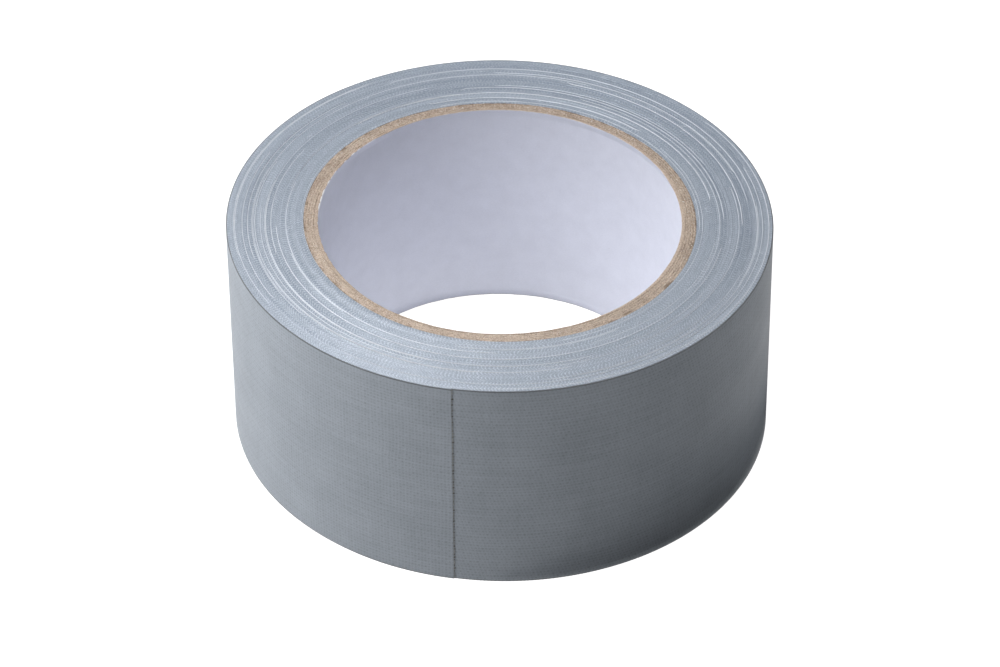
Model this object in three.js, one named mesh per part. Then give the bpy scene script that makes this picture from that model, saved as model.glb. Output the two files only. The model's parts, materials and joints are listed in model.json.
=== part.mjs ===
// A roll of cloth-backed duct tape on a spiral-wound paperboard core.
// Millimetres, +Z up along the roll's axis, origin at the centre of the lower side face.
// The tape winds outwards counter-clockwise seen from above, and its free end lies at the front (-Y).
import * as THREE from 'three';

// Driving dimensions of the roll and its core.
const ROLL_WIDTH = 50;
const ROLL_RADIUS = 56.5;
const BORE_RADIUS = 38.1; // the standard 3 inch core
const CORE_RADIUS = 40.5;

// The core's layers, from the bore outwards: one paper liner, then equal plies of board.
const LINER_THICKNESS = 0.2;
const BOARD_PLIES = 4;
const GLUE_LINE = 0.02;

// The tape's laminate, from its outer face inwards.
const LAMINATE = [
  { name: 'film', thickness: 0.055 },
  { name: 'scrim', thickness: 0.05 },
  { name: 'adhesive', thickness: 0.075 },
];
const LAMINATE_LINE = 0.005; // clearance under each layer
const TAPE_THICKNESS = LAMINATE.reduce((sum, layer) => sum + layer.thickness + LAMINATE_LINE, 0);
const EDGE_INSET = 0.15; // the outermost turn stands this far short of both side faces

// Where the tape ends, and the stretch before its end that peels up as a chain of short links.
const FREE_END_AZIMUTH = THREE.MathUtils.degToRad(261.1);
const TAIL_LINKS = 8;
const LINK_ANGLE = THREE.MathUtils.degToRad(7.5);
const LINK_GAP = 0.05;

// Every curved face follows the same fan of flats, so that nested layers stay parallel.
const FLATS = 96;
const FLAT_ANGLE = (2 * Math.PI) / FLATS;
const FULL_TURN = 2 * Math.PI;

const MATERIALS = {
  film: { color: 0x7d848b, roughness: 0.42, metalness: 0.0 },
  scrim: { color: 0xc9ccc9, roughness: 0.9, metalness: 0.0 },
  adhesive: { color: 0xb4b8bb, roughness: 0.6, metalness: 0.0 },
  wound: { color: 0xaab4bf, roughness: 0.6, metalness: 0.0 },
  board: { color: 0xb99c80, roughness: 0.95, metalness: 0.0 },
  liner: { color: 0xdcdde3, roughness: 0.85, metalness: 0.0 },
};

function namedMesh(name, geometry, look) {
  const mesh = new THREE.Mesh(geometry, new THREE.MeshStandardMaterial(MATERIALS[look]));
  mesh.name = name;
  return mesh;
}

// Radius of the tape's outer face, `turned` radians past the free end's azimuth, in the outermost turn.
function outerFaceRadius(turned) {
  return ROLL_RADIUS - TAPE_THICKNESS * (1 - turned / FULL_TURN);
}

function pointAt(turned, radius) {
  const azimuth = FREE_END_AZIMUTH + turned;
  return new THREE.Vector2(radius * Math.cos(azimuth), radius * Math.sin(azimuth));
}

// Points along the spiral from one angle to another, `depth` below the outer face, on the fan of flats.
function spiralPoints(from, to, depth) {
  const angles = [from];
  for (let i = Math.floor(from / FLAT_ANGLE + 0.5) + 1; i * FLAT_ANGLE < to - 1e-6; i++) {
    angles.push(i * FLAT_ANGLE);
  }
  angles.push(to);
  return angles.map((turned) => pointAt(turned, outerFaceRadius(turned) - depth));
}

function extrudeBetween(shape, bottom, top) {
  const geometry = new THREE.ExtrudeGeometry(shape, { depth: top - bottom, bevelEnabled: false });
  geometry.translate(0, 0, bottom);
  return geometry;
}

// A full ring with a rectangular section, as tall as the roll is wide.
function ringGeometry(innerRadius, outerRadius) {
  const section = [
    new THREE.Vector2(innerRadius, 0),
    new THREE.Vector2(outerRadius, 0),
    new THREE.Vector2(outerRadius, ROLL_WIDTH),
    new THREE.Vector2(innerRadius, ROLL_WIDTH),
    new THREE.Vector2(innerRadius, 0),
  ];
  const geometry = new THREE.LatheGeometry(section, FLATS, FREE_END_AZIMUTH + Math.PI / 2);
  geometry.rotateX(Math.PI / 2);
  return geometry;
}

// The core: a paper liner in the bore, and the board plies wound over it.
function buildCore() {
  const core = new THREE.Group();
  const boardStart = BORE_RADIUS + LINER_THICKNESS;
  core.add(namedMesh('core_liner', ringGeometry(BORE_RADIUS, boardStart), 'liner'));
  const plyPitch = (CORE_RADIUS - boardStart) / BOARD_PLIES;
  for (let ply = 1; ply <= BOARD_PLIES; ply++) {
    const outer = boardStart + ply * plyPitch;
    const board = ringGeometry(outer - plyPitch + GLUE_LINE, outer);
    core.add(namedMesh(`core_ply_${ply}`, board, 'board'));
  }
  return core;
}

// All the turns under the outermost one. The outer face is one turn of the spiral, and steps where it meets itself.
function buildWoundTurns() {
  const outline = new THREE.Shape(spiralPoints(0, FULL_TURN, TAPE_THICKNESS));
  const bore = [];
  for (let i = 0; i < FLATS; i++) {
    bore.push(pointAt(i * FLAT_ANGLE, CORE_RADIUS + GLUE_LINE));
  }
  outline.holes.push(new THREE.Path(bore));
  return namedMesh('wound_turns', extrudeBetween(outline, 0, ROLL_WIDTH), 'wound');
}

// One stretch of the outermost turn, as one mesh for each layer of the laminate.
function buildLaminate(prefix, from, to) {
  const stretch = new THREE.Group();
  let depth = 0;
  for (const layer of LAMINATE) {
    const outerFace = spiralPoints(from, to, depth);
    const innerFace = spiralPoints(from, to, depth + layer.thickness);
    const outline = new THREE.Shape([...outerFace, ...innerFace.reverse()]);
    const geometry = extrudeBetween(outline, EDGE_INSET, ROLL_WIDTH - EDGE_INSET);
    stretch.add(namedMesh(`${prefix}_${layer.name}`, geometry, layer.name));
    depth += layer.thickness + LAMINATE_LINE;
  }
  return stretch;
}

// The last stretch of the tape: each link hinges on the link behind it, at its outer face.
function buildTail() {
  const tail = new THREE.Group();
  for (let link = 1; link <= TAIL_LINKS; link++) {
    const hinge = FULL_TURN - (TAIL_LINKS - link + 1) * LINK_ANGLE;
    tail.add(buildLaminate(`tail_${link}`, hinge + LINK_GAP / ROLL_RADIUS, hinge + LINK_ANGLE));
  }
  return tail;
}

const roll = new THREE.Group();
roll.add(buildCore());
roll.add(buildWoundTurns());
roll.add(buildLaminate('outer_turn', LINK_GAP / ROLL_RADIUS, FULL_TURN - TAIL_LINKS * LINK_ANGLE));
roll.add(buildTail());

export default roll;
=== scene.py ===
"""The looks of a roll of cloth-backed duct tape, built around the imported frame.

The tape is one long strip, so every pattern on it follows the strip: `turned` is the angle past
the free end's azimuth, counter-clockwise, and the outermost turn runs from 0 to a full turn.
Lengths are in millimetres here, and the meshes are made in metres.
"""
import json
import math

import bpy
import numpy as np
from mathutils import Matrix, Vector


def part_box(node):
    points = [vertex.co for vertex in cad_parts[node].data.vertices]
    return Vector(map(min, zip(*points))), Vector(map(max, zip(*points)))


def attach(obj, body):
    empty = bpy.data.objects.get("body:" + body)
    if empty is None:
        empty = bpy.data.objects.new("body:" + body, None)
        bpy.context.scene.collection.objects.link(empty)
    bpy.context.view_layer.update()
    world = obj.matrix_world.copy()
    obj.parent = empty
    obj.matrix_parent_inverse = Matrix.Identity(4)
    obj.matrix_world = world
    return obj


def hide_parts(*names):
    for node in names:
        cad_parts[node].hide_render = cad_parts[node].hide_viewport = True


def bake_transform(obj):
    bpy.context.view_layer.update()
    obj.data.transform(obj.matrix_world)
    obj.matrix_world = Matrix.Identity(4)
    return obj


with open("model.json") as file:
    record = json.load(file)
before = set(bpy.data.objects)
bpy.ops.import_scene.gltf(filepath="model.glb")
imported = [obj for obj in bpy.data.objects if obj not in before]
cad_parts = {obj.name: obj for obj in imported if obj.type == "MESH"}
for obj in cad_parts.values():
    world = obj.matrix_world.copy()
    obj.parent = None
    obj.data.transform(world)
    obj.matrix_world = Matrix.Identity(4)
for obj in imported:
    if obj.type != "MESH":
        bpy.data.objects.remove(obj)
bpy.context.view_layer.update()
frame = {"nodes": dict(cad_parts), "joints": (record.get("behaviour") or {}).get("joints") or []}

MM = 0.001
FULL = 2 * math.pi


# ---------- sizes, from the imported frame
def radii(node):
    """The least and greatest distance of a CAD node's corners from the roll's axis."""
    corners = np.array([v.co for v in frame["nodes"][node].data.vertices])
    distance = np.hypot(corners[:, 0], corners[:, 1]) / MM
    return float(distance.min()), float(distance.max())


JOINTS = {joint["name"]: joint for joint in frame["joints"]}
TAIL_BODIES = [f"tail_{link}" for link in range(1, 9)]
HINGES = [JOINTS["tail_peel"]] + [JOINTS[f"tail_bend_{link}"] for link in range(2, 9)]
HINGE_AZIMUTHS = [math.atan2(h["pos_m"][1], h["pos_m"][0]) % FULL for h in HINGES]
LINK_ANGLE = (HINGE_AZIMUTHS[1] - HINGE_AZIMUTHS[0]) % FULL
SEAM_AZIMUTH = HINGE_AZIMUTHS[-1] + LINK_ANGLE
TAIL_START = FULL - len(TAIL_BODIES) * LINK_ANGLE

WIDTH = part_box("wound_turns")[1][2] / MM
BORE_RADIUS, LINER_OUTER = radii("core_liner")
CORE_RADIUS = radii("core_ply_4")[1]
CORE_MIDDLE = (BORE_RADIUS + CORE_RADIUS) / 2
ROLL_RADIUS = radii("tail_8_film")[1]
TAPE = ROLL_RADIUS - radii("wound_turns")[1]
EDGE_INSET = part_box("tail_8_film")[0][2] / MM

# Each layer of the outermost turn, as depths below the tape's outer face. The film's face stays
# inside the flats of the CAD model.
FLAT_SAG = 0.03
FILM_BACK = 0.062
EMBOSS_DEPTH = 0.026
SCRIM_DEPTHS = (0.065, 0.112)
ADHESIVE_DEPTHS = (0.115, 0.189)
UNDER_TURN_SETBACK = 0.06
CUT_REACH = 0.4 / ROLL_RADIUS
SLIT_WANDER = 0.04

# The cloth: both yarns lie this far apart.
YARN = 0.74

# Wound turns that show at the side faces, under the outermost turn.
WOUND_INNER = CORE_RADIUS + 0.02
WOUND_TURNS = 71
ROWS_PER_TURN = 4
TURN_PITCH = (ROLL_RADIUS - 2 * TAPE - WOUND_INNER) / WOUND_TURNS

# The roll has been squeezed a little out of round. Its box stays the CAD model's, because the long
# way lies between the axes.
SQUEEZE = 0.546
LONG_WAY = math.radians(135)


def squeezed(azimuth, radius):
    """A radius on the roll as it lies, out of round in proportion to its size."""
    return radius * (1 + SQUEEZE / ROLL_RADIUS * np.cos(2 * (azimuth - LONG_WAY)))


def face_radius(turned):
    """Radius of the tape's outer face in the outermost turn."""
    return ROLL_RADIUS - TAPE * (1 - turned / FULL)


def strip_length(turned):
    """Length along the strip, from the free end's azimuth on the turn under the outermost."""
    return (ROLL_RADIUS - TAPE) * turned + TAPE * turned * turned / (2 * FULL)


def place(turned, radius, height):
    """Points in millimetres at an angle past the free end."""
    azimuth = SEAM_AZIMUTH + turned
    reach = squeezed(azimuth, radius)
    return np.stack([reach * np.cos(azimuth), reach * np.sin(azimuth), height], axis=-1)


def below_face(upper, depth):
    """Height of a point at a depth below the upper or the lower side face."""
    return WIDTH - depth if upper else depth


# ---------- colours
FILM_DARK = (0.266, 0.300, 0.342)
FILM_LIGHT = (0.625, 0.682, 0.760)
# Painted shade: the colour of the dark band along the tape's slit edges, for the shadow line under the
# rim.
EDGE_SHADE_COLOUR = (0.120, 0.128, 0.140)
# Dust on the free end's bead, made darker as painted shade for the seam's shadow line.
DUST_AND_SHADE_COLOUR = (0.140, 0.125, 0.115)
WOUND_DARK = (0.195, 0.235, 0.300)
WOUND_LIGHT = (0.630, 0.688, 0.768)
BOARD_DARK = (0.200, 0.150, 0.113)
BOARD_LIGHT = (0.685, 0.565, 0.470)
LINER_DARK = (0.610, 0.624, 0.707)
LINER_LIGHT = (0.785, 0.803, 0.899)
CLOTH_DARK = (0.30, 0.31, 0.31)
CLOTH_LIGHT = (0.62, 0.63, 0.62)
GLUE_DARK = (0.34, 0.36, 0.37)
GLUE_LIGHT = (0.52, 0.54, 0.55)
BOARD_FLECK = (0.115, 0.075, 0.046)
BOARD_WHITE = (0.80, 0.79, 0.78)
LINER_SPECK = (0.30, 0.28, 0.30)
LINER_TORN = (0.88, 0.88, 0.89)
BOARD_GRAIN = 2.4  # contrast of the cut board's speckle
THREAD_DARK = (0.60, 0.65, 0.71)
THREAD_LIGHT = (0.93, 0.94, 0.95)
FIBRE_DARK = (0.42, 0.34, 0.27)
FIBRE_LIGHT = (0.88, 0.86, 0.83)


# ---------- repeatable noise
def hashed(i, j, seed):
    """A repeatable number from -1 to 1 for each pair of whole numbers."""
    mask = 0xFFFFFFFF
    h = (i * 374761393 + j * 668265263 + seed * 1442695041) & mask
    h = ((h ^ (h >> 13)) * 1274126177) & mask
    h = ((h ^ (h >> 15)) * 2246822519) & mask
    return ((h ^ (h >> 16)) & 0xFFFF) / 32767.5 - 1.0


def noise(x, y, seed):
    """Smooth noise from -1 to 1, with one feature a unit."""
    x, y = np.broadcast_arrays(np.asarray(x, float), np.asarray(y, float))
    i, j = np.floor(x).astype(np.int64), np.floor(y).astype(np.int64)
    u, v = x - i, y - j
    u, v = u * u * (3 - 2 * u), v * v * (3 - 2 * v)
    low = hashed(i, j, seed) * (1 - u) + hashed(i + 1, j, seed) * u
    high = hashed(i, j + 1, seed) * (1 - u) + hashed(i + 1, j + 1, seed) * u
    return low * (1 - v) + high * v


def round_noise(azimuth, across, per_turn, seed):
    """Noise that closes on itself round the ring, with about per_turn features in a full turn."""
    reach = per_turn / FULL
    return noise(reach * np.cos(azimuth) + 50, reach * np.sin(azimuth) + across, seed)


# ---------- meshes
def make_object(name, points, polygons, sharp=50.0):
    """A piece from points in millimetres and arrays of polygons, each array of one size."""
    mesh = bpy.data.meshes.new(name)
    mesh.vertices.add(len(points))
    mesh.vertices.foreach_set("co", (points * MM).astype(np.float32).ravel())
    corners = np.concatenate([p.ravel() for p in polygons]).astype(np.int32)
    sizes = np.concatenate([np.full(len(p), p.shape[1]) for p in polygons]).astype(np.int32)
    mesh.loops.add(len(corners))
    mesh.loops.foreach_set("vertex_index", corners)
    mesh.polygons.add(len(sizes))
    mesh.polygons.foreach_set("loop_start", (np.cumsum(sizes) - sizes).astype(np.int32))
    mesh.update(calc_edges=True)
    mesh.polygons.foreach_set("use_smooth", np.ones(len(sizes), dtype=bool))
    mesh.set_sharp_from_angle(angle=math.radians(sharp))
    mesh.update()
    piece = bpy.data.objects.new(name, mesh)
    bpy.context.scene.collection.objects.link(piece)
    return piece


def add_values(piece, name, values):
    """Stores one number, or one triple, for each point of a piece."""
    values = np.asarray(values, np.float32)
    vector = values.ndim == 2
    kind = "FLOAT_VECTOR" if vector else "FLOAT"
    layer = piece.data.attributes.new(name, kind, "POINT")
    layer.data.foreach_set("vector" if vector else "value", values.ravel())


def grid_quads(index):
    """The quads of a grid of point numbers."""
    a, b = index[:-1, :-1], index[1:, :-1]
    c, d = index[1:, 1:], index[:-1, 1:]
    return np.stack([a, b, c, d], axis=-1).reshape(-1, 4)


def closed_shell(name, surface, low, high, flip, sharp=50.0):
    """A closed piece from a grid of surface points, and a line of points behind each of its two
    long edges. flip reverses the faces, which have to turn outwards."""
    columns, rows = surface.shape[:2]
    index = np.arange(columns * rows).reshape(columns, rows)
    low_index = index.size + np.arange(columns)
    high_index = low_index + columns
    ring = np.stack([index[:, -1], high_index, low_index, index[:, 0]], axis=1)
    start = np.concatenate([index[0], [high_index[0], low_index[0]]])[None, :]
    end = np.concatenate([index[-1], [high_index[-1], low_index[-1]]])[None, ::-1]
    polygons = [grid_quads(index), grid_quads(ring), start, end]
    if flip:
        polygons = [p[:, ::-1] for p in polygons]
    points = np.concatenate([surface.reshape(-1, 3), low, high])
    return make_object(name, points, polygons, sharp)


def strip_shell(name, turned, height, face, back, length, face_turned=None):
    """A thin closed stretch of the strip. face is the detailed side's radius for each column and
    row, back the plain side's radius for each column, and height the rows' heights. face_turned
    gives the detailed side's angles where they aren't the same in every row."""
    front = place(turned[:, None] if face_turned is None else face_turned, face, height)
    low = place(turned, back, height[:, 0])
    high = place(turned, back, height[:, -1])
    piece = closed_shell(name, front, low, high, flip=np.mean(back) > np.mean(face))
    across = np.broadcast_to(height, face.shape)
    along = np.broadcast_to(length[:, None], face.shape)
    strip = np.concatenate([
        np.stack([along, across, 0 * along], axis=-1).reshape(-1, 3),
        np.stack([length, height[:, 0], 0 * length], axis=-1),
        np.stack([length, height[:, -1], 0 * length], axis=-1),
    ])
    add_values(piece, "strip", strip)
    return piece


def tube_points(path, radius, sides):
    """Rings of points along a path, with tapered ends."""
    ahead = np.gradient(path, axis=0)
    ahead /= np.linalg.norm(ahead, axis=1, keepdims=True)
    up = np.array([0.0, 0.0, 1.0])
    right = np.cross(ahead, up)
    right /= np.maximum(np.linalg.norm(right, axis=1, keepdims=True), 1e-9)
    top = np.cross(right, ahead)
    angle = np.arange(sides) * FULL / sides
    ring = right[:, None] * np.cos(angle)[None, :, None] + top[:, None] * np.sin(angle)[None, :, None]
    return path[:, None] + ring * np.asarray(radius)[:, None, None]


def make_tubes(name, paths, radii_list, tones, sides=6):
    """One piece of many closed thin tubes, such as loose threads."""
    points, polygons, caps, values = [], [], [], []
    count = 0
    for path, radius, tone in zip(paths, radii_list, tones):
        index = count + np.arange(len(path) * sides).reshape(len(path), sides)
        wrapped = np.concatenate([index, index[:, :1]], axis=1)
        polygons.append(grid_quads(wrapped))
        caps.append(index[:1, ::-1])
        caps.append(index[-1:, :])
        points.append(tube_points(path, radius, sides).reshape(-1, 3))
        values.append(np.full(len(path) * sides, tone))
        count += len(path) * sides
    quads = np.concatenate(polygons)[:, ::-1]
    ends = np.concatenate(caps)[:, ::-1]
    piece = make_object(name, np.concatenate(points), [quads, ends], 80.0)
    add_values(piece, "tone", np.concatenate(values))
    return piece


# ---------- node materials
class Nodes:
    """A material with a Principled shader, and short ways to add the nodes that feed it."""

    def __init__(self, name, roughness, specular=0.5, sheen=0.0):
        self.material = bpy.data.materials.new(name)
        self.material.use_nodes = True
        self.tree = self.material.node_tree
        self.shader = self.tree.nodes["Principled BSDF"]
        self.shader.inputs["Roughness"].default_value = roughness
        self.shader.inputs["Specular IOR Level"].default_value = specular
        self.shader.inputs["Sheen Weight"].default_value = sheen

    def feed(self, socket, value):
        if isinstance(value, bpy.types.NodeSocket):
            self.tree.links.new(value, socket)
        elif socket.type == "RGBA":
            socket.default_value = (*value, 1.0)
        else:
            socket.default_value = value

    def add(self, kind, given, **settings):
        """Adds a node with its settings, and feeds the inputs that are given."""
        node = self.tree.nodes.new(kind)
        for key, value in settings.items():
            setattr(node, key, value)
        for key, value in given.items():
            self.feed(node.inputs[key], value)
        return node

    def math(self, operation, *values):
        node = self.add("ShaderNodeMath", dict(enumerate(values)), operation=operation)
        return node.outputs[0]

    def times(self, first, *rest):
        """The product of two values or more."""
        for value in rest:
            first = self.math("MULTIPLY", first, value)
        return first

    def attribute(self, name, output="Fac"):
        return self.add("ShaderNodeAttribute", {}, attribute_name=name).outputs[output]

    def strip(self):
        """The three values of the strip attribute."""
        return self.add("ShaderNodeSeparateXYZ", {0: self.attribute("strip", "Vector")}).outputs

    def yarn_waves(self, along, across):
        """Waves with a crest on every warp yarn, and on every weft yarn."""
        return [self.math("COSINE", self.times(where, FULL / YARN)) for where in (across, along)]

    def vector(self, x, y, z=0.0):
        return self.add("ShaderNodeCombineXYZ", {0: x, 1: y, 2: z}).outputs[0]

    def noise(self, vector, scale, detail=2.0, roughness=0.5):
        given = {"Vector": vector, "Scale": scale, "Detail": detail, "Roughness": roughness}
        return self.add("ShaderNodeTexNoise", given).outputs["Fac"]

    def random(self, vector):
        return self.add("ShaderNodeTexWhiteNoise", {"Vector": vector}).outputs["Value"]

    def spread(self, value, low, high, to_low=0.0, to_high=1.0):
        """Maps low..high onto to_low..to_high, clamped."""
        given = {"Value": value, "From Min": low, "From Max": high, "To Min": to_low, "To Max": to_high}
        return self.add("ShaderNodeMapRange", given, interpolation_type="SMOOTHSTEP").outputs[0]

    def mix(self, share, first, second):
        node = self.add("ShaderNodeMix", {}, data_type="RGBA")
        colours = [s for s in node.inputs if s.type == "RGBA"]
        for socket, value in zip((node.inputs["Factor"], *colours), (share, first, second)):
            self.feed(socket, value)
        return [s for s in node.outputs if s.type == "RGBA"][0]

    def vary(self, tone, pattern, amount):
        """Adds a pattern that is centred on a half to a tone."""
        return self.math("MULTIPLY_ADD", self.math("SUBTRACT", pattern, 0.5), amount, tone)

    def stretched(self, along, along_scale, *rest):
        """A place on the strip, drawn out along it."""
        return self.vector(self.times(along, along_scale), *rest)

    def near_edge(self, across, reach, most):
        """A share that rises to most within reach of the tape's slit edges."""
        off_centre = self.math("ABSOLUTE", self.math("SUBTRACT", across, WIDTH / 2))
        from_edge = self.math("SUBTRACT", WIDTH / 2 - EDGE_INSET, off_centre)
        return self.spread(from_edge, 0.3 * reach, reach, most, 0.0)

    def bump(self, height, strength, distance):
        given = {"Height": height, "Strength": strength, "Distance": distance * MM}
        self.feed(self.shader.inputs["Normal"], self.add("ShaderNodeBump", given).outputs[0])

    def colour(self, value):
        self.feed(self.shader.inputs["Base Color"], value)


def film_material():
    """Satin polyethylene film over the cloth, embossed by the yarns and lightly scuffed. It is painted
    darker in the hollows between the yarns and along its slit edges, as painted shade."""
    n = Nodes("tape_film_satin", 0.4)
    along, across, _ = n.strip()
    sink = n.attribute("sink")
    flat = n.vector(along, across)
    warp_lines = n.noise(n.stretched(along, 0.04, across), 1.4, 3.0)
    weft_lines = n.noise(n.vector(along, n.times(across, 0.06)), 1.2, 2.0)
    blotches = n.noise(flat, 0.10, 3.0)
    grain = n.noise(flat, 5.0, 3.0, 0.7)
    uneven = n.spread(n.noise(flat, 1.1, 2.0), 0.35, 0.65, 0.60, 1.0)
    # Painted shade: the film is darker where it sinks between the yarns, the shade of the weave's
    # hollows.
    tone = n.math("MULTIPLY_ADD", n.times(sink, uneven), -0.60, 0.60)
    for pattern, amount in ((warp_lines, 0.34), (weft_lines, 0.16), (blotches, 0.30), (grain, 0.95)):
        tone = n.vary(tone, pattern, amount)
    # Painted shade: the film darkens towards its slit edges, standing in for the shadow line under the
    # rim.
    edge_shade = n.near_edge(across, 0.30, 0.85)
    n.colour(n.mix(edge_shade, n.mix(tone, FILM_DARK, FILM_LIGHT), EDGE_SHADE_COLOUR))
    scuffs = n.noise(n.stretched(along, 0.25, across), 0.22, 4.0, 0.6)
    n.feed(n.shader.inputs["Roughness"], n.math("MULTIPLY_ADD", scuffs, 0.22, 0.33))
    height = n.math("MULTIPLY_ADD", sink, -0.5, n.times(grain, 0.5))
    n.bump(height, 0.35, 0.03)
    return n.material


def scrim_material():
    """Undyed cotton-polyester cloth: two crossing sets of thin yarns."""
    n = Nodes("tape_scrim_cloth", 0.9, specular=0.2, sheen=0.2)
    along, across, _ = n.strip()
    warp, weft = n.yarn_waves(along, across)
    yarns = n.math("MAXIMUM", warp, weft)
    fibres = n.noise(n.vector(along, across), 9.0, 3.0)
    tone = n.math("MULTIPLY_ADD", yarns, 0.3, n.times(fibres, 0.8))
    plain = n.mix(tone, CLOTH_DARK, CLOTH_LIGHT)
    # Painted shade: the cloth darkens towards the slit edges.
    n.colour(n.mix(n.near_edge(across, 0.25, 0.8), plain, EDGE_SHADE_COLOUR))
    n.bump(tone, 0.5, 0.05)
    return n.material


def adhesive_material():
    """Grey rubber adhesive: the cloth shows through it, and the bead at its free end is dark with dust
    and with painted shade for the seam's shadow line. Its slit edges are painted darker, as painted
    shade.
    """
    n = Nodes("tape_adhesive_rubber", 0.5, specular=0.4)
    along, across, _ = n.strip()
    warp, weft = n.yarn_waves(along, across)
    cloth = n.times(n.math("ADD", warp, 1.0), n.math("ADD", weft, 1.0))
    smear = n.noise(n.stretched(along, 0.3, across), 0.5, 4.0)
    tone = n.math("MULTIPLY_ADD", cloth, 0.10, n.times(smear, 0.9))
    clean = n.mix(tone, GLUE_DARK, GLUE_LIGHT)
    dust_and_shade = n.attribute("dust_and_shade")
    # Painted shade: the adhesive darkens towards the slit edges.
    edge_shade = n.mix(n.near_edge(across, 0.25, 0.7), clean, EDGE_SHADE_COLOUR)
    # The bead's colour: dust, and partly painted shade for the seam's shadow line.
    n.colour(n.mix(dust_and_shade, edge_shade, DUST_AND_SHADE_COLOUR))
    n.feed(n.shader.inputs["Roughness"], n.math("MULTIPLY_ADD", smear, 0.3, 0.35))
    n.bump(tone, 0.4, 0.04)
    return n.material


def wound_material():
    """The stacked edges of the turns: film and adhesive, with a yarn end every pitch."""
    n = Nodes("wound_tape_edges", 0.40, specular=0.6)
    n.shader.inputs["Metallic"].default_value = 0.15
    turn, angle, _ = n.strip()
    whole = n.math("FLOOR", turn)
    wound = n.math("MULTIPLY_ADD", whole, FULL, angle)
    slope = TURN_PITCH / (2 * FULL)
    length = n.times(wound, n.math("MULTIPLY_ADD", wound, slope, WOUND_INNER))
    drift = n.noise(n.stretched(angle, 7.0, n.times(turn, 0.16)), 1.0, 3.0)
    shift = n.math("MULTIPLY_ADD", drift, 3.0, n.times(n.random(n.vector(whole, 3.0)), 0.3))
    yarns = n.math("ADD", n.math("DIVIDE", length, YARN), shift)
    each = n.math("FLOOR", yarns)
    pick = n.spread(n.random(n.vector(each, whole)), 0.0, 1.0, 0.25, 1.0)
    end = n.spread(n.math("COSINE", n.times(yarns, FULL)), -0.1, 0.9)
    inside = n.math("FRACT", turn)
    middle = n.math("SINE", n.times(inside, math.pi))
    yarn = n.times(end, middle, pick)
    tone = n.math("MULTIPLY_ADD", n.math("SUBTRACT", yarn, 0.2), 0.72, n.attribute("tone"))
    speckle = n.noise(n.stretched(length, 0.8, n.times(turn, 1.3)), 1.0, 3.0, 0.6)
    tone = n.vary(tone, speckle, 0.6)
    n.colour(n.mix(tone, WOUND_DARK, WOUND_LIGHT))
    n.bump(n.math("MULTIPLY_ADD", yarn, 0.6, n.times(speckle, 0.5)), 0.5, 0.05)
    return n.material


def board_material():
    """Recycled paperboard, cut across: fibres along the ring, dark flecks, a few white ones and a
    bruised outer edge. It is painted a little paler at the front left, as painted light from the lamps
    on that side."""
    n = Nodes("core_paperboard", 0.95, specular=0.15, sheen=0.1)
    along, radius, height = n.strip()
    spot = n.vector(along, radius, height)
    fibre = n.noise(n.stretched(along, 0.9, n.times(radius, 1.3), height), 1.9, 4.0, 0.7)
    grain = n.noise(spot, 5.0, 3.0, 0.7)
    blotch = n.noise(spot, 0.35, 2.0)
    tone = n.vary(n.vary(fibre, grain, BOARD_GRAIN), blotch, 0.5)
    azimuth = n.math("DIVIDE", along, CORE_MIDDLE)
    # Painted light: the board is paler towards the front left.
    painted_light_side = n.math("COSINE", n.math("SUBTRACT", azimuth, math.radians(245)))
    tone = n.math("MULTIPLY_ADD", painted_light_side, 0.09, tone)
    plain = n.mix(tone, BOARD_DARK, BOARD_LIGHT)
    flecks = n.spread(n.noise(spot, 2.7, 2.0), 0.30, 0.36, 1.0, 0.0)
    edge = n.attribute("tone")
    flecks = n.math("MAXIMUM", n.times(flecks, 0.55), edge)
    outward = n.spread(radius, CORE_RADIUS - 1.1, CORE_RADIUS - 0.1)
    bruises = n.spread(n.noise(n.stretched(along, 0.35, radius), 1.0, 3.0, 0.6), 0.50, 0.64)
    bruised = n.times(outward, bruises, 0.7)
    flecks = n.math("MAXIMUM", flecks, bruised)
    dark = n.mix(flecks, plain, BOARD_FLECK)
    whites = n.spread(n.noise(n.vector(radius, along, height), 3.1, 1.0), 0.71, 0.75)
    n.colour(n.mix(whites, dark, BOARD_WHITE))
    n.bump(n.math("MULTIPLY_ADD", grain, 0.7, fibre), 0.7, 0.12)
    return n.material


def liner_material():
    """Smooth coated liner paper, faintly mottled, with a few specks, and painted light and shade round
    the bore: paler at the back left and the front right, darker between. The tone attribute is above 0
    where the paper is torn white, and below 0 on the bare board of its cut edge."""
    n = Nodes("core_liner_paper", 0.7, specular=0.3)
    along, radius, height = n.strip()
    spot = n.vector(along, height)
    mottle = n.noise(spot, 0.25, 4.0, 0.6)
    grain = n.noise(n.stretched(along, 0.5, height), 4.5, 3.0)
    tone = n.vary(n.vary(0.5, mottle, 0.6), grain, 0.5)
    azimuth = n.math("DIVIDE", along, CORE_MIDDLE)
    # Painted light and shade: paler at the back left and the front right, darker between.
    painted_light_and_shade = n.math("COSINE", n.math("MULTIPLY_ADD", azimuth, 2.0, math.radians(-280)))
    tone = n.math("MULTIPLY_ADD", painted_light_and_shade, 0.30, tone)
    plain = n.mix(tone, LINER_DARK, LINER_LIGHT)
    specks = n.spread(n.noise(spot, 1.4, 1.0), 0.80, 0.84, 0.0, 0.3)
    cut = n.attribute("tone")
    speckled = n.mix(specks, plain, LINER_SPECK)
    torn = n.mix(n.math("MAXIMUM", cut, 0.0), speckled, LINER_TORN)
    pulp = n.noise(n.vector(along, radius, height), 5.0, 3.0, 0.7)
    bare = n.mix(n.vary(0.5, pulp, BOARD_GRAIN), BOARD_DARK, BOARD_LIGHT)
    n.colour(n.mix(n.math("MAXIMUM", n.times(cut, -1.0), 0.0), torn, bare))
    n.bump(grain, 0.25, 0.03)
    return n.material


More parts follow.
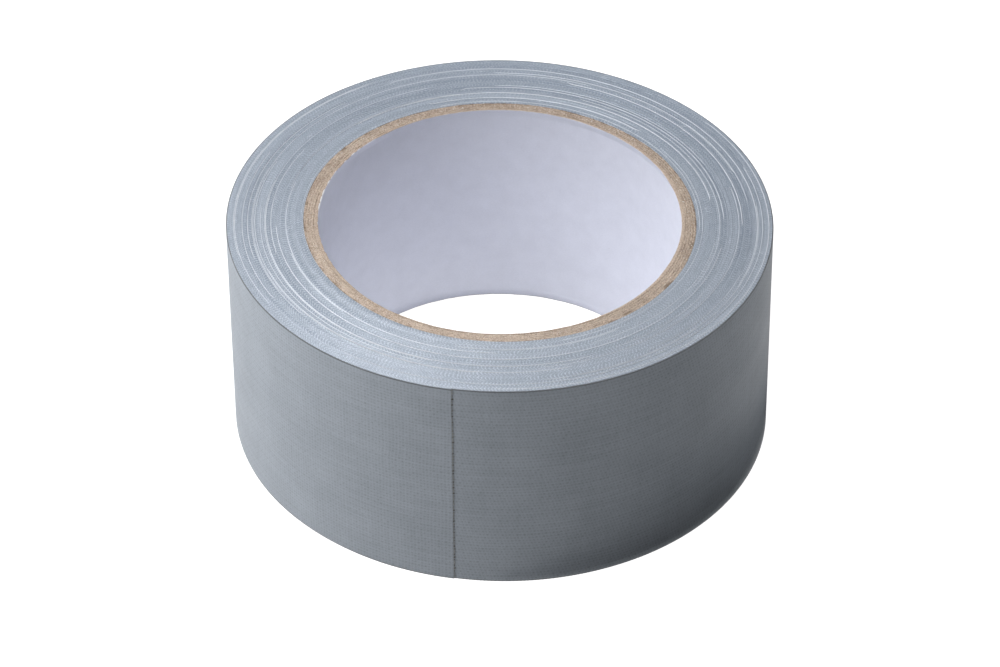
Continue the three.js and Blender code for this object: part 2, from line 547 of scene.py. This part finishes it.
def thread_material(name, dark, light):
    """Loose fibres: pale, matt, with a fine twist."""
    n = Nodes(name, 0.85, specular=0.25, sheen=0.3)
    where = n.tree.nodes.new("ShaderNodeTexCoord").outputs["Object"]
    twist = n.noise(where, 4.0 / MM, 2.0)
    tone = n.vary(n.attribute("tone"), twist, 0.6)
    n.colour(n.mix(tone, dark, light))
    n.bump(twist, 0.4, 0.02)
    return n.material


def wear(piece, material):
    piece.data.materials.append(material)


# ---------- the tape's cloth and edges
def weave_sink(along, across):
    """How far the film sinks between the yarns, from 0 on a crossing to 1 between four. Every
    other hollow is deeper, as the yarns pass over and under each other."""
    lean = 0.16 * (1 + np.cos(along / (2 * ROLL_RADIUS)))
    wander = 0.16 * noise(along / 9, across / 7, 11) + 0.10 * noise(along / 2.3, across / 2.9, 13)
    a = (along + lean * across + wander) * FULL / YARN
    b = (across + 0.14 * noise(along / 14, across / 5, 12)) * FULL / YARN
    hollow = 0.25 * (1 + np.cos(a)) * (1 + np.cos(b))
    weave = 0.80 + 0.20 * np.cos(a / 2) * np.cos(b / 2)
    over = np.sin(a / 2) * np.sin(b / 2) * (np.cos(b) - np.cos(a))
    return np.clip(0.80 * hollow * weave + 0.12 + 0.12 * over, 0, 1)


def edge_heights(length, rows):
    """Heights of a stretch's rows: the slit edges wander a little, and yarns end at them."""
    share = np.linspace(0, 1, rows)
    yarn_ends = 0.012 * np.cos(length * FULL / YARN)
    low = EDGE_INSET + SLIT_WANDER * noise(length / 17, 0 * length, 21) + yarn_ends
    high = WIDTH - EDGE_INSET + SLIT_WANDER * noise(length / 19, 0 * length + 7, 21) - yarn_ends
    return low[:, None] + (high - low)[:, None] * share[None, :]


def stretch_columns(start, end):
    """Angles along a stretch, evenly spaced."""
    count = max(2, round((end - start) * ROLL_RADIUS / (YARN / 4)))
    return np.linspace(start, end, count + 1)


def make_film(name, start, end, radius_of, length_of, free_end=False):
    """One stretch of film, embossed by the yarns under it. A free end is cut slightly ragged."""
    turned = stretch_columns(start, end)
    rows = round((WIDTH - 2 * EDGE_INSET) / (YARN / 4)) + 1
    length = length_of(turned)
    height = edge_heights(length, rows)
    angle = np.broadcast_to(turned[:, None], height.shape).copy()
    if free_end:
        cut = 0.05 + 0.03 * noise(height[-1] / 6, 0 * height[-1], 5)
        cut += 0.02 * (1 + np.cos(height[-1] * FULL / YARN))
        near = np.clip((turned - (end - CUT_REACH)) / CUT_REACH, 0, 1)
        angle -= near[:, None] * cut[None, :] / ROLL_RADIUS
    sink = weave_sink(length[:, None] + 0 * height, height)
    face = radius_of(turned)[:, None] - FLAT_SAG - EMBOSS_DEPTH * sink
    back = radius_of(turned) - FILM_BACK
    piece = strip_shell(name, turned, height, face, back, length, angle)
    add_values(piece, "sink", np.concatenate([sink.ravel(), np.zeros(2 * len(turned))]))
    wear(piece, FILM)
    return piece


def make_scrim(name, start, end):
    """One stretch of cloth under the film. Only its edges show."""
    turned = stretch_columns(start, end)
    length = strip_length(turned)
    height = edge_heights(length, 25)
    yarn_ends = 0.03 * (0.5 + 0.5 * np.cos(length * FULL / YARN))
    height[:, -1] += yarn_ends
    height[:, 0] -= yarn_ends
    ridge = 0.010 * (1 + np.cos(length * FULL / YARN))
    face = face_radius(turned)[:, None] - SCRIM_DEPTHS[0] - ridge[:, None] + 0 * height
    back = face_radius(turned) - SCRIM_DEPTHS[1]
    piece = strip_shell(name, turned, height, face, back, length)
    wear(piece, SCRIM)
    return piece


def make_adhesive(name, start, end, inner_depth, rows):
    """One stretch of adhesive, detailed on its sticky side."""
    turned = stretch_columns(start, end)
    length = strip_length(turned)
    height = edge_heights(length, rows)
    radius = face_radius(turned)
    pattern = weave_sink(length[:, None] + 0 * height, height)
    face = radius[:, None] - inner_depth + 0.012 * pattern
    back = radius - ADHESIVE_DEPTHS[0]
    piece = strip_shell(name, turned, height, face, back, length)
    add_values(piece, "dust_and_shade", np.zeros(len(piece.data.vertices)))
    wear(piece, ADHESIVE)
    return piece


def make_squeeze_out():
    """The bead of adhesive along the free end, in a bulge at each yarn, dark with dust and with painted
    shade for the seam's shadow line.
    """
    rows = 541
    height = np.linspace(EDGE_INSET + 0.05, WIDTH - EDGE_INSET - 0.05, rows)
    bulge = 0.5 + 0.5 * np.cos(height * FULL / YARN)
    reach = 0.11 + 0.22 * bulge + 0.13 * noise(height / 0.31, 0 * height, 31)
    reach += 0.03 * noise(height / 5, 0 * height, 32)
    reach = np.maximum(reach, 0.04)
    lean = 0.13 * noise(height / 9, 0 * height, 33)
    base = ROLL_RADIUS - TAPE + 0.002
    profile = [(-0.12, 0.0), (-0.12, 0.128), (0.35, 0.115), (0.8, 0.07), (1.0, 0.012), (1.0, 0.0)]
    rings = []
    for share, rise in profile:
        sideways = np.where(share < 0, share, lean + share * reach)
        radius = base + rise * (0.8 + 0.2 * bulge)
        rings.append(place(FULL + sideways / ROLL_RADIUS, radius, height))
    points = np.stack(rings, axis=1)
    index = np.arange(points.shape[0] * points.shape[1]).reshape(points.shape[:2])
    wrapped = np.concatenate([index, index[:, :1]], axis=1)
    caps = np.stack([index[0], index[-1][::-1]])
    piece = make_object("tail_8_squeeze_out", points.reshape(-1, 3),
                        [grid_quads(wrapped), caps], 60.0)
    strip = np.stack([
        np.repeat(strip_length(FULL) + 0 * height, len(profile)),
        np.repeat(height, len(profile)),
        np.zeros(len(height) * len(profile)),
    ], axis=-1)
    add_values(piece, "strip", strip)
    # Dark dust at each bulge, partly painted shade for the seam's shadow line.
    dust_and_shade = np.clip(1.1 * bulge ** 2 * (0.45 + 0.8 * noise(height / 0.5, 0 * height, 34)), 0, 1)
    add_values(piece, "dust_and_shade", np.repeat(dust_and_shade, len(profile)))
    wear(piece, ADHESIVE)
    return piece


# ---------- the wound turns' side faces
LINE_COUNT = 60
GOLDEN_SHARE = 0.618  # spreads the bright lines evenly over the turns

# The four rows of points across each turn's edge, from its film outwards: how pale each is, and
# how deep. The film's edge is the crest, and it rolls off outwards, as a slitting knife leaves it.
ROW_TONES = [0.02, 0.10, 0.0, -0.12]
ROW_DEPTHS = [0.006, 0.0, 0.026, 0.054]
CREST = 1
FACE_DEPTH = 0.075

# Loose warp threads lie on the stronger bright lines.
THREAD_STRENGTH = 0.50
THREAD_DEPTH = 0.035


def bright_lines(seed):
    """Turns whose edge shows pale cloth for a stretch, painted paler partly as a painted highlight of a
    proud edge: (turn, start angle, sweep, strength).
    """
    rng = np.random.default_rng(seed)
    lines = []
    for count in range(LINE_COUNT):
        share = (count * GOLDEN_SHARE + rng.uniform(-0.02, 0.02)) % 1
        turn = 1 + share * (WOUND_TURNS - 3)
        start = rng.uniform(0, FULL)
        sweep = math.radians(rng.uniform(30, 150))
        lines.append((int(turn), start, sweep, rng.uniform(0.2, 1.0)))
    return lines


def side_tone(rows, turned, seed):
    """How pale the turns' edges are: slow bands, a value for each turn, bright lines that are partly a
    painted highlight, painted light and shade round the roll that is paler at the front right and
    darker at the back right, and a lift near the outside and the core."""
    share = turned / FULL
    turn = rows / ROWS_PER_TURN + share
    whole = np.floor(rows / ROWS_PER_TURN) + 0 * share
    tone = 0.36 + 0.09 * round_noise(turned, turn / 5.0, 5, seed)
    tone += 0.09 * round_noise(turned, (whole + share) * 1.7, 9, seed + 1)
    tone += 0.05 * noise(turned * 60, whole * 3.1, seed + 2)
    phase = rows % ROWS_PER_TURN
    tone += np.choose(phase, ROW_TONES)
    for line, start, sweep, strength in bright_lines(seed):
        after = (turned - start) % FULL
        fade = np.clip(np.minimum(after, sweep - after) / 0.05, 0, 1)
        # Bright lines: pale cloth, and partly a painted highlight where a proud edge would catch the
        # light.
        tone += np.where((whole == line) & (phase == CREST), fade * strength * 0.95, 0)
    azimuth = SEAM_AZIMUTH + turned
    # Painted light and shade round the roll: paler at the front and front right, darker at the back
    # right.
    tone += 0.015 - 0.05 * np.sin(azimuth) - 0.06 * np.sin(2 * azimuth)
    depth = turn / WOUND_TURNS
    tone += 0.09 * np.clip((depth - 0.72) / 0.2, 0, 1) + 0.06 * np.clip((0.3 - depth) / 0.2, 0, 1)
    return tone


def side_height(rows, turned, seed):
    """How far each turn's edge stands below the side face."""
    turn = rows / ROWS_PER_TURN
    whole = np.floor(turn)
    phase = rows % ROWS_PER_TURN
    drop = np.choose(phase, ROW_DEPTHS)
    wander = 0.022 * round_noise(turned, whole * 1.3, 7, seed + 5)
    bands = 0.020 * round_noise(turned, turn / 6.0, 4, seed + 6)
    grain = 0.010 * noise(turned * 110, rows, seed + 7)
    return FACE_DEPTH + drop + wander + bands + grain


def make_wound_sector(name, start, end, upper, seed):
    """A quarter of the wound turns, from mid-width to one side face. The first two turns ease from
    the round core into the spiral."""
    columns = 181
    line = np.linspace(start, end, columns)
    turned = line[:, None]
    rows = np.arange(WOUND_TURNS * ROWS_PER_TURN + 1)[None, :]
    ease = np.clip(rows / (2 * ROWS_PER_TURN), 0, 1)
    ease = ease * ease * (3 - 2 * ease)
    radius = WOUND_INNER + TURN_PITCH * rows / ROWS_PER_TURN + TURN_PITCH * ease * turned / FULL
    radius += core_bulge(SEAM_AZIMUTH + turned) * (1 - rows / rows[0, -1]) ** 2
    radius[:, -1] -= UNDER_TURN_SETBACK
    surface = place(turned, radius, below_face(upper, side_height(rows, turned, seed)))
    inner, outer = (place(line, radius[:, edge], WIDTH / 2 + 0 * line) for edge in (0, -1))
    piece = closed_shell(name, surface, inner, outer, flip=upper, sharp=80.0)
    turn = rows / ROWS_PER_TURN + 0 * turned
    strip = np.concatenate([
        np.stack([turn, turned + 0 * turn, 0 * turn], axis=-1).reshape(-1, 3),
        np.stack([0 * line, line, 0 * line], axis=-1),
        np.stack([0 * line + WOUND_TURNS - 0.5, line, 0 * line], axis=-1),
    ])
    add_values(piece, "strip", strip)
    tone = side_tone(rows, turned, seed)
    add_values(piece, "tone", np.concatenate([tone.ravel(), np.full(2 * columns, 0.3)]))
    wear(piece, WOUND)
    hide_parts("wound_turns")
    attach(piece, "root")


def thread_radius(turn, turned):
    """Radius of a thread on a given turn's edge."""
    return WOUND_INNER + TURN_PITCH * (turn + 0.5 + turned / FULL)


def make_edge_threads(name, upper, seed):
    """Loose warp threads lying along the turns' edges, hooked at their ends."""
    rng = np.random.default_rng(seed + 900)
    paths, sizes, tones = [], [], []
    for line, start, sweep, strength in bright_lines(seed):
        if strength < THREAD_STRENGTH:
            continue
        count = max(8, int(math.degrees(sweep) / 1.2))
        angle = np.linspace(start, start + sweep, count)
        hook = rng.uniform(-0.5, 0.5, 2)
        share = np.linspace(0, 1, count)
        reach = 0.9 / math.degrees(sweep)
        bend = hook[0] * np.clip(1 - share / reach / 2, 0, 1) ** 2
        bend += hook[1] * np.clip(1 - (1 - share) / reach / 2, 0, 1) ** 2
        radius = thread_radius(line, angle % FULL) + bend + np.where(angle >= FULL, TURN_PITCH, 0)
        radius = np.clip(radius, WOUND_INNER + 0.1, ROLL_RADIUS - 2 * TAPE - 0.1)
        radius += 0.02 * noise(angle * 40, 0 * angle + line, seed)
        size = rng.uniform(0.026, 0.044)
        depth = THREAD_DEPTH + size * 0.6 + 0.012 * noise(angle * 25, 0 * angle + line, seed + 3)
        depth = np.maximum(depth, size + 0.004)
        paths.append(place(angle, radius, below_face(upper, depth)))
        sizes.append(size * np.clip(np.minimum(share, 1 - share) / reach, 0.25, 1))
        tones.append(strength)
    piece = make_tubes(name, paths, sizes, tones)
    wear(piece, THREAD)
    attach(piece, "root")


def make_fuzz(name, upper, seed, count, low, high, length_range, material, size=0.016):
    """Short stray fibres on a side face, between two radii."""
    rng = np.random.default_rng(seed)
    taper = np.array([0.4, 1, 1, 1, 1, 1, 0.4])
    paths, sizes, tones = [], [], []
    for _ in range(count):
        heading = rng.normal(0, 0.6) + (math.pi / 2 if rng.random() < 0.5 else 0)
        length = rng.uniform(*length_range)
        share = np.linspace(-0.5, 0.5, len(taper))
        curl = rng.normal(0, 0.5)
        sideways = length * (share * math.cos(heading) - curl * (share ** 2 - 0.1) * math.sin(heading))
        outward = length * (share * math.sin(heading) + curl * (share ** 2 - 0.1) * math.cos(heading))
        radius = np.clip(rng.uniform(low, high) + outward, low, high)
        angle = rng.uniform(0, FULL) + sideways / radius
        depth = size + 0.006 + 0.05 * (1 - np.cos(share * math.pi * 1.6)) * rng.uniform(0.3, 1)
        paths.append(place(angle, radius, below_face(upper, depth)))
        sizes.append(taper * size)
        tones.append(rng.uniform(0.3, 1.0))
    piece = make_tubes(name, paths, sizes, tones, sides=5)
    wear(piece, material)
    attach(piece, "root")


# ---------- the core
CORE_COLUMNS = 960
AROUND = np.linspace(0, FULL, CORE_COLUMNS, endpoint=False)  # azimuths of its columns
PLIES = 4

# Points across each ply's cut face, as shares of its thickness from the bore side.
PLY_SHARES = (1.0, 0.94, 0.8, 0.62, 0.45, 0.28, 0.12, 0.04, 0.0)
WORN_SIDE = math.radians(160)  # where the core's end is most worn

# Depths below a side face at which the liner's leaning mouth has points.
LIP_DEPTHS = np.array([0.3, 0.5, 0.75, 1.0, 1.25, 1.5])
TORN_SIDE = math.radians(168)  # where the liner's edge is torn


def ring_piece(name, section):
    """A closed ring from a list of (radius, height) arrays, one pair for each corner of its
    section, counter-clockwise seen along the ring."""
    azimuth = AROUND
    points = np.stack([place(azimuth - SEAM_AZIMUTH, *corner) for corner in section], axis=1)
    index = np.arange(points.shape[0] * points.shape[1]).reshape(points.shape[:2])
    wrapped = np.concatenate([index, index[:1]], axis=0)
    wrapped = np.concatenate([wrapped, wrapped[:, :1]], axis=1)
    piece = make_object(name, points.reshape(-1, 3), [grid_quads(wrapped)])
    strip = np.stack([
        np.stack([azimuth * CORE_MIDDLE, radius + 0 * azimuth, height + 0 * azimuth], axis=-1)
        for radius, height in section
    ], axis=1).reshape(-1, 3)
    add_values(piece, "strip", strip)
    return piece


def core_bulge(azimuth):
    """How far the winding's tension has pushed the core's outside out of round."""
    return 0.23 * np.cos(2 * (azimuth - math.radians(134)))


def ply_boundary(level):
    """Radius of the glue line between two plies, which wanders."""
    azimuth = AROUND
    straight = LINER_OUTER + (CORE_RADIUS - LINER_OUTER) * level / PLIES
    straight = straight + core_bulge(azimuth) * level / PLIES
    if level in (0, PLIES):
        return straight
    wander = 0.07 * round_noise(azimuth, level * 9.0, 90, 40)
    wander += 0.04 * round_noise(azimuth, level * 5.0, 420, 41)
    return straight + wander


def board_roughness(azimuth, radius, seed):
    """How far the cut board's face stands below the side face."""
    pulp = 0.045 * round_noise(azimuth, radius * 3.1, 520, seed)
    pulp += 0.035 * round_noise(azimuth, radius * 6.3, 900, seed + 1)
    swell = 0.03 * round_noise(azimuth, radius * 0.6, 40, seed + 2)
    return np.clip(0.105 + pulp + swell, 0.012, 0.3)


def make_ply(ply):
    """One ply of board, with a rough cut face at each side."""
    azimuth = AROUND
    inner = ply_boundary(ply - 1) + 0.012
    outer = ply_boundary(ply) - 0.012
    section, tones = [], []
    for upper in (True, False):
        for share in PLY_SHARES if upper else PLY_SHARES[::-1]:
            radius = inner + (outer - inner) * share
            drop = board_roughness(azimuth, radius, 50 if upper else 60)
            lip = 0.10 if share in (0.0, 1.0) else 0.03 if share in (0.04, 0.94) else 0.0
            drop = drop + lip * (0.6 + 0.4 * round_noise(azimuth, ply + 3.0 * share, 700, 70))
            section.append((radius, below_face(upper, drop)))
            outside = (ply == PLIES and share > 0.7) or (ply == 1 and share < 0.2)
            glue = 0.12 if share in (0.0, 1.0) else 0.0
            worn = 0.55 + 0.45 * np.cos(azimuth - WORN_SIDE)
            smudge = 1.8 * round_noise(azimuth, ply * 2.0, 210, 71) + 0.30 * worn
            shade = 0.9 * worn * np.clip(smudge, 0, 1)
            tones.append((shade if outside else glue) + 0 * azimuth)
    piece = ring_piece(f"board_ply_{ply}", section)
    add_values(piece, "tone", np.stack(tones, axis=1).ravel())
    wear(piece, BOARD)
    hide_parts(f"core_ply_{ply}")
    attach(piece, "root")


def liner_lean():
    """How far the liner's mouth leans into the bore."""
    lean = 0.38 + 0.33 * np.cos(2 * AROUND) + 0.10 * round_noise(AROUND, 1.5, 22, 88)
    return np.clip(lean + 0.05 * round_noise(AROUND, 5.5, 160, 89), 0.02, 1)


def torn_flap(seed):
    """How wide the liner's torn white edge is. It is torn at one side only."""
    patches = round_noise(AROUND, 0.5, 26, seed) + 0.25
    tears = round_noise(AROUND, 2.5, 300, seed)
    side = np.clip(6 * np.cos(AROUND - TORN_SIDE) - 4.7, 0, 1)
    return 0.14 * side * np.clip(patches + 0.7 * tears + 0.15, 0, 1)


def liner_lip(corner, upper):
    """The liner's cut edge, as (radius, depth, tone) from the bore outwards for the upper face, and
    inwards for the lower."""
    flap = torn_flap(83 if upper else 84)
    rag = 0.08 * (0.5 + 0.5 * round_noise(AROUND, 3.0, 700, 85 if upper else 86))
    drop = 0.045 + 0.05 * np.clip(round_noise(AROUND, 4.0, 300, 87), 0, 1)
    white = np.clip(flap * 11, 0, 1)
    lip = [
        (corner, 0.16 + rag, white),
        (corner + 0.03 + 1.3 * flap, drop + 0.02, 2 * white - 1),
        (corner + 0.06 + 1.4 * flap, drop, -1),
        (LINER_OUTER - 0.04, drop + 0.02, -1),
        (LINER_OUTER - 0.015, 0.15 + rag, -1),
        (LINER_OUTER - 0.015, 0.5, -1),
    ]
    return lip if upper else lip[::-1]


def make_liner():
    """The paper sleeve in the bore. Its mouths lean in, and show brown board and torn white paper."""
    lean = liner_lean()
    flat = 0 * AROUND
    section, tones = [], []
    for height in np.concatenate([LIP_DEPTHS, np.linspace(2, WIDTH - 2, 37), WIDTH - LIP_DEPTHS[::-1]]):
        inward = max(0.0, 1 - min(height, WIDTH - height) / LIP_DEPTHS[-1]) ** 0.7
        radius = BORE_RADIUS + 0.03 + 0.02 * round_noise(AROUND, height / 11, 24, 81)
        section.append((radius - inward * lean, height + flat))
        tones.append(flat)
    for upper in (True, False):
        for radius, depth, tone in liner_lip(BORE_RADIUS + 0.03 - lean, upper):
            section.append((radius + flat, below_face(upper, depth) + flat))
            tones.append(tone + flat)
    piece = ring_piece("liner_sleeve", section[::-1])
    add_values(piece, "tone", np.stack(tones[::-1], axis=1).ravel())
    wear(piece, LINER)
    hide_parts("core_liner")
    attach(piece, "root")


# ---------- camera, floor and lights
CAMERA_DISTANCE = 0.9536
CAMERA_ELEVATION = math.radians(38.47)
CAMERA_AZIMUTH = math.radians(1.08)  # from straight in front, round to the right
CAMERA_AIM = [math.radians(angle) for angle in (-0.258, 0.005, -0.363)]  # pitch, yaw and roll
LENS = 163.9

# Softboxes: name, azimuth and elevation in degrees, distance and size in metres, power in watts.
SOFTBOXES = (
    ("key", 180, 60, 0.62, 0.42, 3.80),
    ("key_side", 205, 45, 0.62, 0.42, 1.20),
    ("key_back", 140, 12, 0.62, 0.42, 0.85),
    ("fill", 45, 8, 0.62, 0.20, 0.70),
    ("front", 298, 50, 0.90, 0.60, 1.10),
)
BOUNCE_POWER = 0.0064
WORLD_STRENGTH = 0.52
WORLD_LEAN = (-0.15, 0.20)  # added to the strength towards +X and +Y
HORIZON_FADE = 0.12
FLOOR_GLOW = 1.05
FLOOR_HALF = 3.0
FLOOR_TOP = -0.05 * MM


def make_camera():
    """The viewing angle: in front of the roll and above it, through a long lens."""
    middle = Vector((0, 0, WIDTH * MM / 2))
    away = Vector((0, -math.cos(CAMERA_ELEVATION), math.sin(CAMERA_ELEVATION)))
    right = Vector((1, 0, 0))
    basis = Matrix((right, away.cross(right), away)).transposed()
    for angle, axis in zip(CAMERA_AIM, "XYZ"):
        basis = basis @ Matrix.Rotation(angle, 3, axis)
    camera = bpy.data.objects.new("camera", bpy.data.cameras.new("camera"))
    camera.data.sensor_width = 36
    camera.data.lens = LENS
    stand = Matrix.Translation(middle + CAMERA_DISTANCE * away) @ basis.to_4x4()
    camera.matrix_world = Matrix.Rotation(CAMERA_AZIMUTH, 4, "Z") @ stand
    bpy.context.scene.collection.objects.link(camera)
    bpy.context.scene.camera = camera


def make_floor():
    """A plain white floor, bright enough to read as a clean sweep."""
    mesh = bpy.data.meshes.new("floor")
    sides = ((-1, -1), (1, -1), (1, 1), (-1, 1))
    corners = [(x * FLOOR_HALF, y * FLOOR_HALF, FLOOR_TOP) for x, y in sides]
    mesh.from_pydata(corners, [], [(0, 1, 2, 3)])
    floor = bpy.data.objects.new("floor", mesh)
    bpy.context.scene.collection.objects.link(floor)
    n = Nodes("floor_white", 1.0, specular=0.0)
    n.colour((0.25, 0.25, 0.25))
    n.shader.inputs["Emission Color"].default_value = (1, 1, 1, 1)
    n.shader.inputs["Emission Strength"].default_value = FLOOR_GLOW
    mesh.materials.append(n.material)
    floor.visible_diffuse = False
    floor.visible_glossy = False


def make_bounce():
    """The light that the white floor sends up into the bore."""
    bounce = bpy.data.objects.new("bounce", bpy.data.lights.new("bounce", "AREA"))
    bounce.data.shape = "DISK"
    bounce.data.size = 2 * (BORE_RADIUS - 1) * MM
    bounce.data.energy = BOUNCE_POWER
    bounce.location = Vector((0, 0, 0.4 * MM))
    bounce.rotation_euler = (math.pi, 0, 0)
    bounce.visible_camera = False
    bpy.context.scene.collection.objects.link(bounce)


def make_flag():
    """A black card on the floor at the right, out of the camera's sight, which keeps the light
    that comes up from the floor off the foot of the roll."""
    columns = 24
    azimuth = np.radians(np.linspace(270, 400, columns))
    reach = 19 * np.clip((azimuth - azimuth[0]) / math.radians(45), 0.02, 1)
    reach -= 9 * np.clip((azimuth - math.radians(325)) / math.radians(25), 0, 1)
    rings = [np.stack([r * np.cos(azimuth), r * np.sin(azimuth), 0 * azimuth + 0.2], axis=-1)
             for r in (ROLL_RADIUS + 1.0, ROLL_RADIUS + 1.0 + reach)]
    points = np.stack(rings, axis=1).reshape(-1, 3)
    index = np.arange(2 * columns).reshape(columns, 2)
    flag = make_object("flag", points, [grid_quads(index)])
    n = Nodes("flag_black", 1.0, specular=0.0)
    n.colour((0.01, 0.01, 0.01))
    flag.data.materials.append(n.material)
    flag.visible_camera = False
    flag.visible_shadow = False


def make_softbox(name, azimuth, elevation, distance, size, power):
    """A square light that faces the roll's middle."""
    a, e = math.radians(azimuth), math.radians(elevation)
    away = Vector((math.cos(a) * math.cos(e), math.sin(a) * math.cos(e), math.sin(e)))
    light = bpy.data.objects.new(name, bpy.data.lights.new(name, "AREA"))
    light.data.shape = "SQUARE"
    light.data.size = size
    light.data.energy = power
    light.location = Vector((0, 0, WIDTH * MM / 2)) + away * distance
    light.rotation_euler = away.to_track_quat("Z", "Y").to_euler()
    bpy.context.scene.collection.objects.link(light)


def make_world():
    """Soft light from the white floor, below the horizon, stronger towards the back and the left."""
    world = bpy.data.worlds.new("studio")
    world.use_nodes = True
    tree = world.node_tree
    background = tree.nodes["Background"]
    direction = tree.nodes.new("ShaderNodeTexCoord")
    towards = tree.nodes.new("ShaderNodeSeparateXYZ")
    ramp = tree.nodes.new("ShaderNodeValToRGB")
    tree.links.new(direction.outputs["Generated"], towards.inputs[0])
    tree.links.new(towards.outputs["Z"], ramp.inputs["Fac"])
    tree.links.new(ramp.outputs["Color"], background.inputs["Color"])
    last = None
    for axis, amount in zip("XY", WORLD_LEAN):
        share = tree.nodes.new("ShaderNodeMath")
        share.operation = "MULTIPLY_ADD"
        share.inputs[1].default_value = amount
        share.inputs[2].default_value = WORLD_STRENGTH
        tree.links.new(towards.outputs[axis], share.inputs[0])
        if last:
            tree.links.new(last.outputs[0], share.inputs[2])
        last = share
    tree.links.new(last.outputs[0], background.inputs["Strength"])
    low, high = ramp.color_ramp.elements
    low.position, high.position = 0.0, HORIZON_FADE
    low.color = (1.0, 1.0, 1.0, 1.0)
    high.color = (0.0, 0.0, 0.0, 1.0)
    bpy.context.scene.world = world


make_camera()
make_floor()
for softbox in SOFTBOXES:
    make_softbox(*softbox)
make_world()
make_flag()
make_bounce()
bpy.context.scene.view_settings.view_transform = "Standard"

# ---------- build
FILM = film_material()
SCRIM = scrim_material()
ADHESIVE = adhesive_material()
WOUND = wound_material()
BOARD = board_material()
LINER = liner_material()
THREAD = thread_material("loose_thread", THREAD_DARK, THREAD_LIGHT)
FIBRE = thread_material("paper_fibre", FIBRE_DARK, FIBRE_LIGHT)

UNDER_START = TAIL_START - math.radians(1.0)  # a little before the first hinge
UNDER_PARTS = 2
OUTER_SECTORS = 8
LAYERS = ("film", "scrim", "adhesive")


def build_sides():
    """The wound turns' side faces, with loose threads and fibres."""
    for side, upper, seed in (("upper", True, 300), ("lower", False, 400)):
        for quarter in range(4):
            make_wound_sector(f"wound_{side}_{quarter + 1}", quarter * FULL / 4,
                              (quarter + 1) * FULL / 4, upper, seed)
        make_edge_threads(f"edge_threads_{side}", upper, seed)
        make_fuzz(f"edge_fuzz_{side}", upper, seed + 1, 170, WOUND_INNER + 0.3,
                  ROLL_RADIUS - 2 * TAPE - 0.3, (0.4, 1.4), THREAD)
        make_fuzz(f"core_fibres_{side}", upper, seed + 2, 130, LINER_OUTER + 0.05,
                  CORE_RADIUS - 0.05, (0.25, 0.8), FIBRE, size=0.014)


def build_under_turn():
    """The film of the turn under the tail, which shows when the tail is peeled."""
    step = (FULL - UNDER_START) / UNDER_PARTS
    for part in range(UNDER_PARTS):
        start = UNDER_START + part * step
        end = UNDER_START + (part + 1) * step
        under = make_film(f"under_tail_film_{part + 1}", start, end,
                          lambda turned: face_radius(turned) - TAPE,
                          lambda turned: strip_length(turned - FULL))
        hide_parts("wound_turns")
        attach(under, "root")


def build_outer_turn():
    """The outermost turn where it is stuck, in sectors of three layers each."""
    for number in range(1, OUTER_SECTORS + 1):
        start = (number - 1) * TAIL_START / OUTER_SECTORS
        end = number * TAIL_START / OUTER_SECTORS
        film = make_film(f"turn_film_{number}", start, end, face_radius, strip_length)
        cloth = make_scrim(f"turn_scrim_{number}", start, end)
        glue = make_adhesive(f"turn_adhesive_{number}", start, end,
                             TAPE + UNDER_TURN_SETBACK - 0.015, 25)
        for piece, layer in zip((film, cloth, glue), LAYERS):
            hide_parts(f"outer_turn_{layer}")
            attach(piece, "root")


def build_tail():
    """The tail's links, each of film, cloth and adhesive, and the adhesive bead at the free end."""
    for link, body in enumerate(TAIL_BODIES):
        start = TAIL_START + link * LINK_ANGLE
        end = start + LINK_ANGLE
        last = body == TAIL_BODIES[-1]
        film = make_film(f"{body}_film_skin", start, end, face_radius, strip_length, free_end=last)
        cloth = make_scrim(f"{body}_scrim_cloth", start, end)
        glue = make_adhesive(f"{body}_adhesive_coat", start, end, ADHESIVE_DEPTHS[1], 136)
        for piece, layer in zip((film, cloth, glue), LAYERS):
            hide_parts(f"{body}_{layer}")
            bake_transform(piece)
    bead = make_squeeze_out()
    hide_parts("tail_8_adhesive")
    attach(bead, "tail_8")


make_liner()
for ply in range(1, PLIES + 1):
    make_ply(ply)
build_sides()
build_under_turn()
build_outer_turn()
build_tail()
